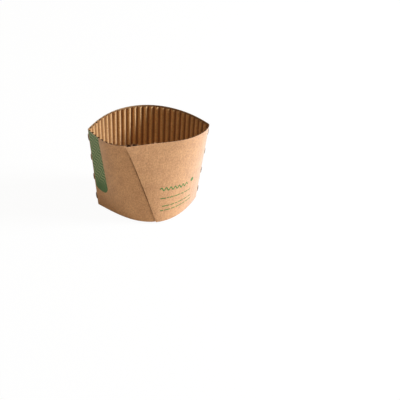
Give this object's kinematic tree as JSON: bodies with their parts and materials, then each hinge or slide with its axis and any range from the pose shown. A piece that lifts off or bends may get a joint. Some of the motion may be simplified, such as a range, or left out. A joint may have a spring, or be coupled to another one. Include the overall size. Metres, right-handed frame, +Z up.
{
  "type": "corrugated cup sleeve",
  "caption": "Kraft sleeve for a hot paper cup: single-face corrugated board glued into a tapered loop, flutes inside, slotted folds at both sides.",
  "frame": {"origin": "centre of the sleeve's box, on the surface that it stands on", "axes": "+Z up through the loop from base to rim, X from fold to fold with the printed band toward -X, seam toward -Y"},
  "size_m": [0.0906, 0.065, 0.0676],
  "materials": {
    "kraft_liner": "matte",
    "kraft_medium": "matte",
    "green_ink": "matte"
  },
  "bodies": {
    "root": {"liner": "kraft_liner", "fluting": "kraft_medium", "print_band": "green_ink"}
  },
  "joints": []
}
